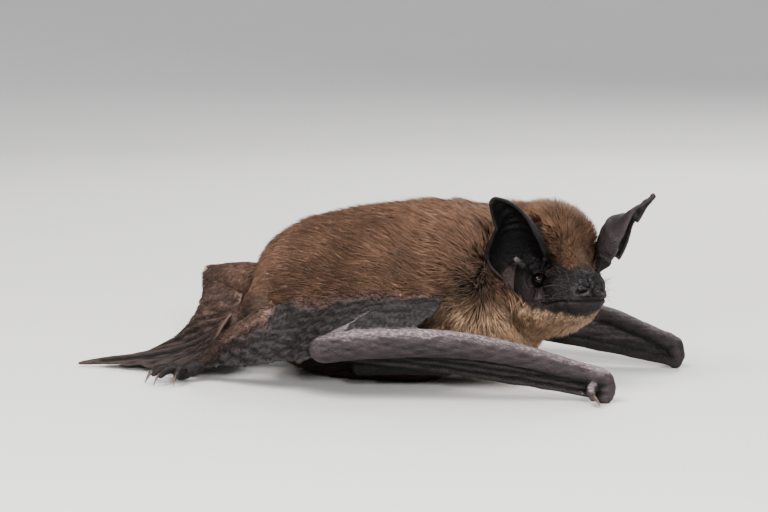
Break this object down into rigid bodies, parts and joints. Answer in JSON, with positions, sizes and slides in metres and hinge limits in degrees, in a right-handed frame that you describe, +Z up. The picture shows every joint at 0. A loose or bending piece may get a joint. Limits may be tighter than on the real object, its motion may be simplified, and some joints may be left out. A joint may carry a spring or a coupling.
{
  "type": "bat model",
  "caption": "Life-size still model of a brown bat resting on all fours, wings folded along its sides and head turned, on small flats under belly, wrists and feet.",
  "frame": {"origin": "middle of the flat under the belly, on the floor", "axes": "+X along the body towards the head, +Y towards the bat's left side, +Z up"},
  "size_m": [0.1168, 0.0669, 0.0373],
  "materials": {
    "fur": "long soft fur",
    "face": "bare dark skin",
    "ear": "thin black skin",
    "membrane": "wrinkled dark skin",
    "eye": "wet and glossy"
  },
  "bodies": {
    "root": {"trunk": "fur", "neck": "fur", "head": "fur", "lower_jaw": "face", "nose": "face", "tail": "fur", "ear_right": "ear", "tragus_right": "ear", "eye_right": "eye", "upper_arm_right": "membrane", "forearm_right": "membrane", "wrist_right": "membrane", "thumb_right": "membrane", "finger_3_right": "membrane", "finger_4_right": "membrane", "finger_5_right": "membrane", "wing_tip_right": "membrane", "arm_membrane_right": "membrane", "side_membrane_right": "membrane", "thigh_right": "fur", "shin_right": "fur", "foot_right": "membrane", "tail_membrane_right": "membrane", "ear_left": "ear", "tragus_left": "ear", "eye_left": "eye", "upper_arm_left": "membrane", "forearm_left": "membrane", "wrist_left": "membrane", "thumb_left": "membrane", "finger_3_left": "membrane", "finger_4_left": "membrane", "finger_5_left": "membrane", "wing_tip_left": "membrane", "arm_membrane_left": "membrane", "side_membrane_left": "membrane", "thigh_left": "fur", "shin_left": "fur", "foot_left": "membrane", "tail_membrane_left": "membrane"}
  },
  "joints": []
}
